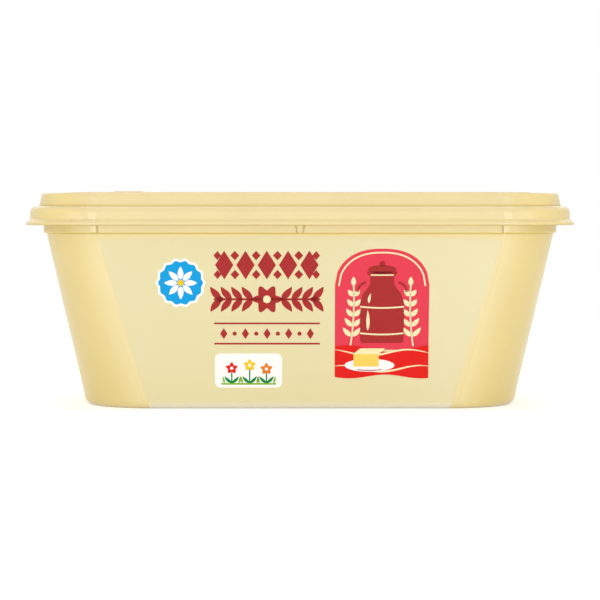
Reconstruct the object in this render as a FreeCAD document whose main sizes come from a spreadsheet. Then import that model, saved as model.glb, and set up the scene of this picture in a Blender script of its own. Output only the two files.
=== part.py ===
"""A shut butter tub: a filled tub of thin moulded plastic under its press-on lid.

Millimetres, +Z up, origin at the middle of the base, +X along the tub's length.
Two pieces, each one solid:

  tub  tapered walls with rounded corners, a foot ring round a shallow base recess, and at the top
       a collar under an outward flange. It is shut and filled, so it is solid.
  lid  a stepped cap that seats on the flange: a thin flared skirt, a shoulder, a drafted crown and
       a raised top panel, with a bead inside the skirt that grips under the flange. Above the
       flange nothing can be seen into, so the cap is solid there.

Every outline is a rounded rectangle set in from the skirt's lower edge by a named distance, so the
lid, the flange and the collar follow one another when the length, the width or a corner changes.
"""

import FreeCAD, Part
import math
import os
import Sketcher

DIMENSIONS = [
    ("overall_length", 145.0, "over the skirt's lower edge, along X"),
    ("overall_width", 78.0, "over the skirt's lower edge, along Y"),
    ("overall_height", 57.0, "from the foot ring to the lid's top panel"),
    ("skirt_radius", 20.2, "corner radius of the skirt's lower edge"),
    ("lid_wall", 0.8, "wall thickness of the lid's skirt and shoulder"),
    ("panel_rise", 0.2, "rise of the lid's top panel"),
    ("panel_round", 0.15, "edge round of the top panel"),
    ("panel_border", 7.0, "width of the crown's rim round the top panel"),
    ("crown_height", 3.5, "height of the lid's crown above the shoulder"),
    ("crown_draft", 12.0, "draft of the crown's wall, degrees"),
    ("crown_inset", 3.5, "inset of the crown's foot from the skirt's edge"),
    ("crown_round", 1.0, "edge round on top of the crown"),
    ("crown_foot_round", 0.2, "hollow round where the crown meets the shoulder"),
    ("shoulder_height", 3.45, "height of the shoulder above the flare"),
    ("shoulder_inset", 1.1, "inset of the shoulder's wall from the skirt's edge"),
    ("shoulder_round", 1.65, "edge round on top of the shoulder"),
    ("flare_height", 0.85, "height of the skirt's flare"),
    ("flare_drop", 0.3, "how much lower the flare lies inside than outside, which keeps its wall thick"),
    ("flare_round", 0.3, "hollow round between the shoulder and the flare"),
    ("brow_round", 0.35, "edge round between the flare and the lip"),
    ("lip_height", 0.67, "height of the upright lip under the flare"),
    ("lip_round", 0.25, "edge round along the lip's lower edge"),
    ("flange_clearance", 0.3, "gap between the flange and the lid's inner wall"),
    ("flange_thickness", 1.2, "thickness of the tub's flange"),
    ("flange_round", 0.4, "edge round of the flange"),
    ("bead_reach", 0.95, "how far the snap bead stands in from the lid's inner wall"),
    ("bead_height", 1.1, "height of the snap bead"),
    ("bead_gap", 0.1, "gap between the snap bead and the flange's underside"),
    ("collar_show", 2.08, "height of collar that shows below the skirt"),
    ("collar_step", 0.8, "step from the collar in to the wall"),
    ("collar_round", 0.4, "edge round along the collar's foot"),
    ("collar_inset", 4.65, "inset of the collar from the skirt's edge"),
    ("groove_width", 0.5, "width of the collar's grooves, where its long sides meet its corners"),
    ("groove_depth", 0.6, "depth of a groove"),
    ("key_groove_width", 0.3, "width of the fine groove along each side of the key"),
    ("key_foot_width", 1.0, "width of the collar's middle key at its foot"),
    ("key_flank", 14.0, "angle of the key's sides from upright, degrees"),
    ("key_proud", 0.25, "how far the key stands out of the collar"),
    ("wall_taper", 11.2, "taper of the tub's walls from upright, degrees"),
    ("base_radius", 19.0, "corner radius of the walls at the base"),
    ("end_flat", 2.0, "least flat across each end of the base, which limits its corner radius"),
    ("base_round", 2.4, "edge round between the walls and the foot ring"),
    ("foot_width", 6.0, "width of the foot ring, edge round included"),
    ("recess_depth", 0.8, "depth of the base recess"),
    ("recess_draft", 30.0, "draft of the recess's side, degrees"),
    ("gate_diameter", 5.0, "diameter of the moulding gate's spot in the base and the lid"),
    ("gate_depth", 0.25, "depth or rise of the gate's spot"),
    ("stop_length", 7.3, "length of the small stop on the top panel, along X"),
    ("stop_width", 2.5, "width of the stop"),
    ("stop_rise", 0.2, "rise of the stop above the top panel"),
    ("stop_place", 44.85, "distance of the stop from the middle, towards -X"),
    ("stop_edge_gap", 1.6, "gap between the stop and the panel's near edge"),
]

# Heights above the foot ring, from the lid's top down.
CROWN_TOP = "(dims.overall_height - dims.panel_rise)"
SHOULDER_TOP = f"({CROWN_TOP} - dims.crown_height)"
FLARE_TOP = f"({SHOULDER_TOP} - dims.shoulder_height)"
LIP_TOP = f"({FLARE_TOP} - dims.flare_height)"
SKIRT_EDGE = f"({LIP_TOP} - dims.lip_height)"
COLLAR_FOOT = f"({SKIRT_EDGE} - dims.collar_show)"
FLANGE_TOP = f"({SHOULDER_TOP} - dims.lid_wall)"
FLANGE_FOOT = f"({FLANGE_TOP} - dims.flange_thickness)"
BEAD_TOP = f"({FLANGE_FOOT} - dims.bead_gap)"
INNER_FLARE_TOP = f"({FLARE_TOP} - dims.flare_drop)"
INNER_LIP_TOP = f"({LIP_TOP} - dims.flare_drop)"

# Insets from the skirt's lower edge, in plan.
LID_INNER = "(dims.shoulder_inset + dims.lid_wall)"
CROWN_TOP_INSET = "(dims.crown_inset + dims.crown_height * tan(dims.crown_draft * 1 deg))"
PANEL_INSET = f"({CROWN_TOP_INSET} + dims.panel_border)"
FLANGE_INSET = f"({LID_INNER} + dims.flange_clearance)"
WALL_INSET = "(dims.collar_inset + dims.collar_step)"
BASE_INSET = f"({WALL_INSET} + {COLLAR_FOOT} * tan(dims.wall_taper * 1 deg))"
RECESS_INSET = f"({BASE_INSET} + dims.foot_width)"

# The walls' corner radius at the base, limited where a narrow tub would leave no flat at its ends.
BASE_RADIUS = f"min(dims.base_radius; (dims.overall_width - dims.end_flat) / 2 - {BASE_INSET})"

# Where a long side meets its corner: the same distance from the middle for every outline.
CORNER_START = "(dims.overall_length / 2 - dims.skirt_radius)"

TOUCH = 1e-4  # how near two places count as one, in millimetres


def make_sheet(doc):
    """The driving dimensions, one to a row, each with its meaning beside it."""
    sheet = doc.addObject("Spreadsheet::Sheet", "dims")
    for row, (alias, value, meaning) in enumerate(DIMENSIONS, start=1):
        sheet.set(f"A{row}", alias)
        sheet.set(f"B{row}", str(value))
        sheet.set(f"C{row}", meaning)
        sheet.setAlias(f"B{row}", alias)
    doc.recompute()
    return sheet


def worth(doc, expression):
    """The present value of an expression of the sheet's cells, as a plain number."""
    value = doc.dims.evalExpression(expression)
    return float(getattr(value, "Value", value))


def half_length(inset):
    return f"(dims.overall_length / 2 - {inset})"


def half_width(inset):
    return f"(dims.overall_width / 2 - {inset})"


def origin_plane(body, role):
    return next(f for f in body.Origin.OriginFeatures if f.Role == role)


def new_sketch(body, name, role, offset):
    """An empty sketch on one of the body's origin planes, moved along the plane's normal."""
    sketch = body.newObject("Sketcher::SketchObject", name)
    sketch.AttachmentSupport = (origin_plane(body, role), [""])
    sketch.MapMode = "FlatFace"
    sketch.setExpression(".AttachmentOffset.Base.z", offset)
    return sketch


def bind(sketch, constraint, name, expression):
    """Adds a dimension to a sketch, names it and ties it to the sheet."""
    index = sketch.addConstraint(constraint)
    sketch.renameConstraint(index, name)
    sketch.setExpression(f"Constraints.{name}", expression)


def rounded_rectangle(body, name, height, half_x, half_y, radius):
    """A level rounded rectangle about the Z axis: four sides joined by four tangent corner arcs."""
    doc = body.Document
    sketch = new_sketch(body, name, "XY_Plane", height)
    hx, hy, r = (worth(doc, e) for e in (half_x, half_y, radius))
    cx, cy = hx - r, hy - r
    up = FreeCAD.Vector(0, 0, 1)
    quarter = math.pi / 2
    centres = [(cx, cy), (-cx, cy), (-cx, -cy), (cx, -cy)]
    arcs = []
    for turn, (x, y) in enumerate(centres):
        circle = Part.Circle(FreeCAD.Vector(x, y, 0), up, r)
        arc = Part.ArcOfCircle(circle, turn * quarter, (turn + 1) * quarter)
        arcs.append(sketch.addGeometry(arc, False))
    sides = []
    for turn in range(4):
        start = sketch.getPoint(arcs[turn], 2)
        end = sketch.getPoint(arcs[(turn + 1) % 4], 1)
        sides.append(sketch.addGeometry(Part.LineSegment(start, end), False))
    for turn in range(4):
        following = arcs[(turn + 1) % 4]
        sketch.addConstraint(Sketcher.Constraint("Tangent", arcs[turn], 2, sides[turn], 1))
        sketch.addConstraint(Sketcher.Constraint("Tangent", sides[turn], 2, following, 1))
    for arc in arcs[1:]:
        sketch.addConstraint(Sketcher.Constraint("Equal", arcs[0], arc))
    x_axis, y_axis, origin = -1, -2, 1
    sketch.addConstraint(Sketcher.Constraint("Symmetric", arcs[0], 3, arcs[1], 3, y_axis))
    sketch.addConstraint(Sketcher.Constraint("Symmetric", arcs[0], 3, arcs[2], 3, x_axis, origin))
    sketch.addConstraint(Sketcher.Constraint("Symmetric", arcs[0], 3, arcs[3], 3, x_axis))
    bind(sketch, Sketcher.Constraint("Radius", arcs[0], r), "corner", radius)
    across = Sketcher.Constraint("DistanceX", x_axis, origin, arcs[0], 3, cx)
    bind(sketch, across, "centre_x", f"{half_x} - {radius}")
    along = Sketcher.Constraint("DistanceY", x_axis, origin, arcs[0], 3, cy)
    bind(sketch, along, "centre_y", f"{half_y} - {radius}")
    return sketch


def outline(body, name, height, inset):
    """The skirt's rounded rectangle at a height, set in by a distance on every side."""
    corner = f"(dims.skirt_radius - {inset})"
    return rounded_rectangle(body, name, height, half_length(inset), half_width(inset), corner)


def polygon(sketch, corners, mark=""):
    """A closed polygon whose corners are pairs of expressions, each tied to the sheet. The mark
    tells its constraints from those of another polygon in the same sketch."""
    doc = sketch.Document
    places = [FreeCAD.Vector(worth(doc, x), worth(doc, y), 0) for x, y in corners]
    count = len(places)
    lines = []
    for n in range(count):
        line = Part.LineSegment(places[n], places[(n + 1) % count])
        lines.append(sketch.addGeometry(line, False))
    for n in range(count):
        following = lines[(n + 1) % count]
        sketch.addConstraint(Sketcher.Constraint("Coincident", lines[n], 2, following, 1))
    for n, (x, y) in enumerate(corners):
        across = Sketcher.Constraint("DistanceX", -1, 1, lines[n], 1, places[n].x)
        bind(sketch, across, f"{mark}x{n}", x)
        upward = Sketcher.Constraint("DistanceY", -1, 1, lines[n], 1, places[n].y)
        bind(sketch, upward, f"{mark}y{n}", y)
    return sketch


def circle(sketch, diameter):
    """A circle about the sketch's origin."""
    radius = worth(sketch.Document, f"{diameter} / 2")
    ring = Part.Circle(FreeCAD.Vector(0, 0, 0), FreeCAD.Vector(0, 0, 1), radius)
    index = sketch.addGeometry(ring, False)
    bind(sketch, Sketcher.Constraint("Diameter", index, 2 * radius), "ring", diameter)
    sketch.addConstraint(Sketcher.Constraint("Coincident", index, 3, -1, 1))
    return sketch


def extrude(body, kind, name, sketch, length, reverse=False, taper=None):
    """A pad or a pocket of a sketch, its length tied to the sheet."""
    feature = body.newObject(f"PartDesign::{kind}", name)
    feature.Profile = sketch
    feature.setExpression("Length", length)
    feature.Reversed = reverse
    if taper:
        feature.setExpression("TaperAngle", f"{taper} * 1 deg")
    body.Document.recompute()
    return feature


def loft(body, kind, name, upper, lower):
    """A straight-sided loft from an upper level outline down to a lower one."""
    feature = body.newObject(f"PartDesign::{kind}", name)
    feature.Profile = upper
    feature.Sections = [lower]
    feature.Ruled = True
    body.Document.recompute()
    return feature


def ring_edges(body, height, half_x, half_y):
    """The names of the edges of one level outline, found by its height and its half sizes."""
    doc = body.Document
    z, hx, hy = (worth(doc, e) for e in (height, half_x, half_y))
    names = []
    for index, edge in enumerate(body.Tip.Shape.Edges, start=1):
        box = edge.BoundBox
        if abs(box.ZMin - z) > TOUCH or abs(box.ZMax - z) > TOUCH:
            continue
        ends = [v.Point for v in edge.Vertexes]
        if all(abs(abs(p.x) - hx) < TOUCH or abs(abs(p.y) - hy) < TOUCH for p in ends):
            names.append(f"Edge{index}")
    if not names:
        raise ValueError(f"{body.Label} has no outline at height {z:.3f}, half sizes {hx:.3f} and {hy:.3f}")
    return names


def round_ring(body, name, height, inset, radius):
    """Rounds the edges of one level outline of the skirt's family."""
    edges = ring_edges(body, height, half_length(inset), half_width(inset))
    unrounded = body.Tip
    fillet = body.newObject("PartDesign::Fillet", name)
    fillet.Base = (unrounded, edges)
    fillet.setExpression("Radius", radius)
    body.Document.recompute()
    return fillet


def make_tub(doc):
    """The tub: walls, collar, flange, the collar's marks and the base."""
    body = doc.addObject("PartDesign::Body", "tub")
    body.Label = "tub"
    add_walls(body)
    add_collar_and_flange(body)
    add_collar_marks(body)
    add_base_recess(body)
    return body


def add_walls(body):
    """The tapered walls. Their corners open out towards the base, so the flat faces narrow."""
    base = rounded_rectangle(
        body, "base_outline", "0", half_length(BASE_INSET), half_width(BASE_INSET), BASE_RADIUS
    )
    top = outline(body, "wall_outline", COLLAR_FOOT, WALL_INSET)
    loft(body, "AdditiveLoft", "walls", top, base)
    round_ring(body, "base_round", "0", BASE_INSET, "dims.base_round")


def add_collar_and_flange(body):
    """The collar stands a little out of the walls, and the flange carries the lid."""
    collar = outline(body, "collar_outline", COLLAR_FOOT, "dims.collar_inset")
    extrude(body, "Pad", "collar", collar, f"{FLANGE_TOP} - {COLLAR_FOOT}")
    round_ring(body, "collar_round", COLLAR_FOOT, "dims.collar_inset", "dims.collar_round")
    flange = outline(body, "flange_outline", FLANGE_FOOT, FLANGE_INSET)
    extrude(body, "Pad", "flange", flange, "dims.flange_thickness")
    round_ring(body, "flange_round", FLANGE_TOP, FLANGE_INSET, "dims.flange_round")


def add_collar_marks(body):
    """A groove where each long side of the collar meets its corners, and between them a tapered
    key with a fine groove along each side, drawn on the collar's front face and mirrored to the
    back."""
    face = half_width("dims.collar_inset")
    narrow = "(dims.key_foot_width / 2)"
    wide = f"({narrow} + ({FLANGE_FOOT} - {COLLAR_FOOT}) * tan(dims.key_flank * 1 deg))"
    near = f"({CORNER_START} - dims.groove_width / 2)"
    grooves = new_sketch(body, "groove_outlines", "XZ_Plane", face)
    for mark, side in (("left_", "-"), ("right_", "")):
        groove_strip(grooves, mark, side, near, near, "dims.groove_width")
        groove_strip(grooves, mark + "key_", side, narrow, wide, "dims.key_groove_width")
    groove = extrude(body, "Pocket", "groove", grooves, "dims.groove_depth")
    keystone = new_sketch(body, "key_outline", "XZ_Plane", face)
    key_foot = f"({COLLAR_FOOT} + dims.collar_round)"
    key_narrow = f"({narrow} + dims.collar_round * tan(dims.key_flank * 1 deg))"
    foot_corners = [(f"-{key_narrow}", key_foot), (key_narrow, key_foot)]
    top_corners = [(wide, FLANGE_FOOT), (f"-{wide}", FLANGE_FOOT)]
    polygon(keystone, foot_corners + top_corners)
    key = extrude(body, "Pad", "key", keystone, "dims.key_proud")
    marks = body.newObject("PartDesign::Mirrored", "back_marks")
    marks.Originals = [groove, key]
    marks.MirrorPlane = (origin_plane(body, "XZ_Plane"), [""])
    body.Tip = marks
    body.Document.recompute()


def groove_strip(sketch, mark, side, foot, top, width):
    """A strip up the collar on one side of the middle, as wide as given. At the collar's foot and
    under the flange it lies at the two given distances from the middle."""
    corners = [
        (f"({side}{foot})", COLLAR_FOOT),
        (f"({side}({foot} + {width}))", COLLAR_FOOT),
        (f"({side}({top} + {width}))", FLANGE_FOOT),
        (f"({side}{top})", FLANGE_FOOT),
    ]
    polygon(sketch, corners, mark)


def add_base_recess(body):
    """The shallow recess inside the foot ring, with the moulding gate's spot in its middle."""
    corner = f"({BASE_RADIUS} - dims.foot_width)"
    recess = rounded_rectangle(
        body, "recess_outline", "0", half_length(RECESS_INSET), half_width(RECESS_INSET), corner
    )
    extrude(body, "Pocket", "recess", recess, "dims.recess_depth", reverse=True, taper="-dims.recess_draft")
    spot = new_sketch(body, "gate_outline", "XY_Plane", "dims.recess_depth")
    circle(spot, "dims.gate_diameter")
    extrude(body, "Pad", "gate", spot, "dims.gate_depth", reverse=True)


def make_lid(doc):
    """The lid: flared skirt, shoulder, crown and top panel, hollowed for the tub's flange."""
    body = doc.addObject("PartDesign::Body", "lid")
    body.Label = "lid"
    add_skirt_and_shoulder(body)
    add_crown(body)
    hollow_lid(body)
    add_snap_bead(body)
    add_top_details(body)
    return body


def add_skirt_and_shoulder(body):
    """A narrow upright lip, the short flare above it, and the shoulder that rises over the flange."""
    lip = outline(body, "lip_outline", SKIRT_EDGE, "0")
    extrude(body, "Pad", "lip", lip, "dims.lip_height")
    edge = outline(body, "flare_outline", LIP_TOP, "0")
    waist = outline(body, "waist_outline", FLARE_TOP, "dims.shoulder_inset")
    loft(body, "AdditiveLoft", "flare", waist, edge)
    shoulder = outline(body, "shoulder_outline", FLARE_TOP, "dims.shoulder_inset")
    extrude(body, "Pad", "shoulder", shoulder, "dims.shoulder_height")
    round_ring(body, "shoulder_round", SHOULDER_TOP, "dims.shoulder_inset", "dims.shoulder_round")
    round_ring(body, "flare_round", FLARE_TOP, "dims.shoulder_inset", "dims.flare_round")
    round_ring(body, "brow_round", LIP_TOP, "0", "dims.brow_round")


def add_crown(body):
    """The drafted crown with its rounded rim, and the panel that stands a little above it."""
    crown = outline(body, "crown_outline", SHOULDER_TOP, "dims.crown_inset")
    extrude(body, "Pad", "crown", crown, "dims.crown_height", taper="-dims.crown_draft")
    round_ring(body, "crown_round", CROWN_TOP, CROWN_TOP_INSET, "dims.crown_round")
    round_ring(body, "crown_foot_round", SHOULDER_TOP, "dims.crown_inset", "dims.crown_foot_round")
    panel = outline(body, "panel_outline", CROWN_TOP, PANEL_INSET)
    extrude(body, "Pad", "panel", panel, "dims.panel_rise")
    round_ring(body, "panel_round", "dims.overall_height", PANEL_INSET, "dims.panel_round")


def hollow_lid(body):
    """The inside of the skirt, one wall thickness in, and the seat that the flange fills."""
    mouth = outline(body, "mouth_outline", SKIRT_EDGE, "dims.lid_wall")
    extrude(body, "Pocket", "mouth", mouth, f"{INNER_LIP_TOP} - {SKIRT_EDGE}", reverse=True)
    inner_edge = outline(body, "inner_flare_outline", INNER_LIP_TOP, "dims.lid_wall")
    inner_waist = outline(body, "inner_waist_outline", INNER_FLARE_TOP, LID_INNER)
    loft(body, "SubtractiveLoft", "inner_flare", inner_waist, inner_edge)
    seat = outline(body, "seat_outline", INNER_FLARE_TOP, LID_INNER)
    extrude(body, "Pocket", "seat", seat, f"{FLANGE_TOP} - {INNER_FLARE_TOP}", reverse=True)
    round_ring(body, "lip_round", SKIRT_EDGE, "0", "dims.lip_round")


def add_snap_bead(body):
    """The bead inside the shoulder that grips under the flange: a ring with a sloped lead-in."""
    path = outline(body, "bead_path", BEAD_TOP, LID_INNER)
    profile = new_sketch(body, "bead_profile", "XZ_Plane", "0")
    wall = half_length(LID_INNER)
    root = f"({wall} + dims.lid_wall / 2)"
    tip = f"({wall} - dims.bead_reach)"
    foot = f"({BEAD_TOP} - dims.bead_height)"
    nose = f"({BEAD_TOP} - dims.bead_height / 3)"
    polygon(profile, [(root, foot), (wall, foot), (tip, nose), (tip, BEAD_TOP), (root, BEAD_TOP)])
    bead = body.newObject("PartDesign::AdditivePipe", "bead")
    bead.Profile = profile
    bead.Spine = (path, [""])
    body.Document.recompute()


def add_top_details(body):
    """On the top panel, the gate's spot in the middle and a small stop near one end of the front."""
    spot = new_sketch(body, "lid_gate_outline", "XY_Plane", "dims.overall_height")
    circle(spot, "dims.gate_diameter")
    extrude(body, "Pocket", "lid_gate", spot, "dims.gate_depth")
    near = f"-({half_width(PANEL_INSET)} - dims.stop_edge_gap)"
    far = f"({near} + dims.stop_width)"
    left = "(-dims.stop_place - dims.stop_length / 2)"
    right = "(-dims.stop_place + dims.stop_length / 2)"
    stop = new_sketch(body, "stop_outline", "XY_Plane", "dims.overall_height - dims.panel_rise / 2")
    polygon(stop, [(left, near), (right, near), (right, far), (left, far)])
    extrude(body, "Pad", "stop", stop, "dims.stop_rise + dims.panel_rise / 2")


def check(doc, bodies):
    """Stops if any object failed, or if a piece isn't one valid closed solid."""
    for item in doc.Objects:
        if "Invalid" in item.State or "Error" in item.State:
            raise ValueError(f"{item.Name} failed: {item.State}")
    for body in bodies:
        shape = body.Shape
        if shape.isNull() or not shape.isValid() or len(shape.Solids) != 1:
            raise ValueError(f"{body.Label} isn't one valid solid")


def main():
    doc = FreeCAD.newDocument("butter_tub")
    make_sheet(doc)
    bodies = [make_tub(doc), make_lid(doc)]
    doc.recompute()
    check(doc, bodies)
    os.makedirs("parts", exist_ok=True)
    for body in bodies:
        body.Shape.exportStep(f"parts/{body.Label}.step")
        box = body.Shape.BoundBox
        print(
            f"{body.Label}: {body.Shape.Volume / 1000:.1f} cm3, {len(body.Shape.Faces)} faces, "
            f"{box.XLength:.2f} x {box.YLength:.2f} x {box.ZLength:.2f}, z {box.ZMin:.2f} to {box.ZMax:.2f}"
        )


main()
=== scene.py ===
# %% [markdown]
# # A shut butter tub in Blender
#
# A butter tub is two thin injection mouldings: a tapered tub and a stepped lid that presses onto it.
# Their shapes come ready made from the CAD frame, so this lesson adds what the CAD leaves out: the
# satin butter-coloured plastic, the printed film that is moulded onto the long sides, and the light.

# %% Load the frame
import math

import bmesh
import bpy
import numpy as np
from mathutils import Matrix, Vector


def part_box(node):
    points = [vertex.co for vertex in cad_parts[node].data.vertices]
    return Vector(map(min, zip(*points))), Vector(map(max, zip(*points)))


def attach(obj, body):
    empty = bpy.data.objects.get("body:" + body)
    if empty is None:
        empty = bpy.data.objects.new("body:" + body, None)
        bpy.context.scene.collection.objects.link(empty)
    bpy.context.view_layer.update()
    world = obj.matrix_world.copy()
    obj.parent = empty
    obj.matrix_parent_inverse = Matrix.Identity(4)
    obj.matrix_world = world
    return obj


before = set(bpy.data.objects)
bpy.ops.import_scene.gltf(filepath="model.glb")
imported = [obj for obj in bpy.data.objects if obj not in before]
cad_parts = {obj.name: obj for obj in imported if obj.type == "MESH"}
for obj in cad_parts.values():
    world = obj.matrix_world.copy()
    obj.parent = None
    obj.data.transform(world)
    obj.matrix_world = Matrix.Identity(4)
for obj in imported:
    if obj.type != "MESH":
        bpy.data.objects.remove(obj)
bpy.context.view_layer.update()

MM = 0.001
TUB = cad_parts["tub"]
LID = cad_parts["lid"]
SKIRT_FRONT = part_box("lid")[0][1]

# %% [markdown]
# ## Where the print goes
#
# The film lies on the flat, leaning part of each long side. That plane could be typed in again, but
# then it would stay behind when the tub changes. It is measured instead: the front wall is all the
# triangles that lie in the plane of the largest one facing forwards.

# %% Measure the front wall


def flat_wall(mesh):
    """The flat front wall: the corners of every triangle that lies in the plane of the largest
    forward-facing one, to within a hundredth of a millimetre, and the plane's normal."""
    count = len(mesh.polygons)
    normals = np.empty(count * 3)
    areas = np.empty(count)
    mesh.polygons.foreach_get("normal", normals)
    mesh.polygons.foreach_get("area", areas)
    normals = normals.reshape(-1, 3)
    forward = normals[:, 1] < -0.9
    largest = np.argmax(np.where(forward, areas, 0))
    loops = np.empty(len(mesh.loops), dtype=np.int64)
    mesh.loops.foreach_get("vertex_index", loops)
    places = np.empty(len(mesh.vertices) * 3)
    mesh.vertices.foreach_get("co", places)
    triangles = places.reshape(-1, 3)[loops.reshape(-1, 3)]
    away = np.abs((triangles - triangles[largest, 0]) @ normals[largest])
    return triangles[away.max(axis=1) < 0.01 * MM].reshape(-1, 3), normals[largest]


wall_corners, wall_normal = flat_wall(TUB.data)
wall_top = wall_corners[np.argmax(wall_corners[:, 2])]
wall_foot = wall_corners[np.argmin(wall_corners[:, 2])]
LEAN = math.atan2(-wall_normal[2], -wall_normal[1])
BASE_ROUND = wall_foot[2] / (1 - math.sin(LEAN))
print("wall leans", round(math.degrees(LEAN), 2), "degrees, base round", round(BASE_ROUND / MM, 2), "mm")


# %% Lay a flat design on the wall


def on_wall(design, lift):
    """Puts points of a flat design, given as (x, z) in millimetres, on the front wall. The wall is
    y = y_top + (z_top - z) tan(lean), and the points are then lifted along the wall's normal."""
    x = design[..., 0] * MM
    z = design[..., 1] * MM
    y = wall_top[1] + (wall_top[2] - z) * math.tan(LEAN)
    return np.stack([x, y, z], axis=-1) + lift * wall_normal


def turned(points):
    """The same points on the back wall: half a turn about Z."""
    return points * np.array([-1.0, -1.0, 1.0])


# %% Make a mesh from grids of points


def mesh_of(name, grids, thickness):
    """One object from many grids. Each grid is P(v, u), with u to the right and v upwards as seen
    from outside, so its quads point outwards. Coincident points are merged, which closes the poles,
    and a Solidify modifier gives the sheet its thickness, inwards."""
    vertices, faces, start = [], [], 0
    for grid in grids:
        rows, columns = grid.shape[:2]
        index = start + np.arange(rows * columns).reshape(rows, columns)
        quads = np.stack([index[:-1, :-1], index[:-1, 1:], index[1:, 1:], index[1:, :-1]], axis=-1)
        vertices.append(grid.reshape(-1, 3))
        faces.append(quads.reshape(-1, 4))
        start += rows * columns
    mesh = bpy.data.meshes.new(name)
    mesh.from_pydata(np.concatenate(vertices).tolist(), [], np.concatenate(faces).tolist())
    tidy = bmesh.new()
    tidy.from_mesh(mesh)
    bmesh.ops.remove_doubles(tidy, verts=tidy.verts, dist=0.002 * MM)
    bmesh.ops.dissolve_degenerate(tidy, edges=tidy.edges, dist=0.001 * MM)
    tidy.to_mesh(mesh)
    tidy.free()
    piece = bpy.data.objects.new(name, mesh)
    bpy.context.scene.collection.objects.link(piece)
    solid = piece.modifiers.new("thickness", "SOLIDIFY")
    solid.thickness = thickness
    solid.offset = -1
    print(name, len(mesh.polygons), "faces")
    return piece


# %% [markdown]
# ## Colours and shared effects
#
# Colours are written as they look on a screen and turned into the linear values that shaders use.
# Moulded plastic is never quite even: the wall draws in a little as it cools, the tool's surface
# leaves a fine grain, and handling dulls it in places. Both pieces need that, so it is one group.

# %% Colour helper and node helper


def screen(red, green, blue):
    """A screen colour from 0 to 255 as a linear colour: below 0.04045 it is c / 12.92, above it is
    ((c + 0.055) / 1.055) to the power 2.4."""
    c = np.array([red, green, blue]) / 255
    linear = np.where(c <= 0.04045, c / 12.92, ((c + 0.055) / 1.055) ** 2.4)
    return (*linear.tolist(), 1.0)


def put(tree, kind, inputs=None, **properties):
    """Adds a node. An input that is given a socket is linked to it, any other is set."""
    node = tree.nodes.new(kind)
    for name, value in properties.items():
        setattr(node, name, value)
    for name, value in (inputs or {}).items():
        if isinstance(value, bpy.types.NodeSocket):
            tree.links.new(value, node.inputs[name])
        else:
            node.inputs[name].default_value = value
    return node


def new_group(name, inputs, outputs):
    """A shader node group with float inputs, given with their values, and typed outputs."""
    tree = bpy.data.node_groups.new(name, "ShaderNodeTree")
    for label, value in inputs.items():
        socket = tree.interface.new_socket(label, in_out="INPUT", socket_type="NodeSocketFloat")
        socket.default_value = value
    for label, kind in outputs.items():
        tree.interface.new_socket(label, in_out="OUTPUT", socket_type=kind)
    return tree, put(tree, "NodeGroupInput"), put(tree, "NodeGroupOutput")


def noise(tree, scale, detail=2.0, stretch=(1, 1, 1)):
    """Cloudy noise over the object's own coordinates. Scale is features per metre."""
    place = put(tree, "ShaderNodeTexCoord").outputs["Object"]
    mapping = put(tree, "ShaderNodeMapping", {"Vector": place, "Scale": stretch})
    given = {"Vector": mapping.outputs[0], "Scale": scale, "Detail": detail}
    return put(tree, "ShaderNodeTexNoise", given).outputs["Fac"]


def remap(tree, value, low, high, to_low, to_high):
    """Stretches the range low..high to the range to_low..to_high, clamped at its ends."""
    limits = {"Value": value, "From Min": low, "From Max": high, "To Min": to_low, "To Max": to_high}
    return put(tree, "ShaderNodeMapRange", limits).outputs["Result"]


def spread(tree, cloud, low, high):
    """Stretches a noise's usual range, 0.3 to 0.7, over the range from low to high."""
    return remap(tree, cloud, 0.3, 0.7, low, high)


def smooth(tree, value, low, high):
    """None below the low limit and one above the high one, with a smooth step between them."""
    limits = {"Value": value, "From Min": low, "From Max": high, "To Min": 0.0, "To Max": 1.0}
    return put(tree, "ShaderNodeMapRange", limits, interpolation_type="SMOOTHSTEP").outputs["Result"]


def maths(tree, operation, first, second):
    """Two values joined by one operation."""
    return put(tree, "ShaderNodeMath", {0: first, 1: second}, operation=operation).outputs[0]


# %% The surface that injection moulding leaves


def moulded_surface():
    """Slow draw-in waves, a fine tool grain, faint clouds of shade and a few dulled places."""
    tree, given, result = new_group(
        "moulded surface",
        {"Wave": 0.05 * MM, "Grain": 0.004 * MM, "Shade": 0.02, "Roughness": 0.4, "Dulling": 0.06},
        {"Shade": "NodeSocketFloat", "Roughness": "NodeSocketFloat", "Normal": "NodeSocketVector"},
    )
    give = given.outputs
    waves = noise(tree, 34, 1.0)
    grain = noise(tree, 5200, 2.0)
    clouds = noise(tree, 60, 4.0)
    rubs = noise(tree, 210, 5.0, (1, 1, 0.35))
    drawn_in = put(tree, "ShaderNodeBump", {"Height": waves, "Distance": give["Wave"]})
    fine = {"Height": grain, "Distance": give["Grain"], "Normal": drawn_in.outputs[0]}
    grained = put(tree, "ShaderNodeBump", fine)
    lighter = maths(tree, "ADD", 1.0, give["Shade"])
    darker = maths(tree, "SUBTRACT", 1.0, give["Shade"])
    shade = spread(tree, clouds, darker, lighter)
    dulled = maths(tree, "ADD", give["Roughness"], maths(tree, "MULTIPLY", rubs, give["Dulling"]))
    tree.links.new(shade, result.inputs["Shade"])
    tree.links.new(dulled, result.inputs["Roughness"])
    tree.links.new(grained.outputs[0], result.inputs["Normal"])
    return tree


MOULDED = moulded_surface()
print("group:", MOULDED.name, [item.name for item in MOULDED.interface.items_tree])

# %% Painted shade in a crease


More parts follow.
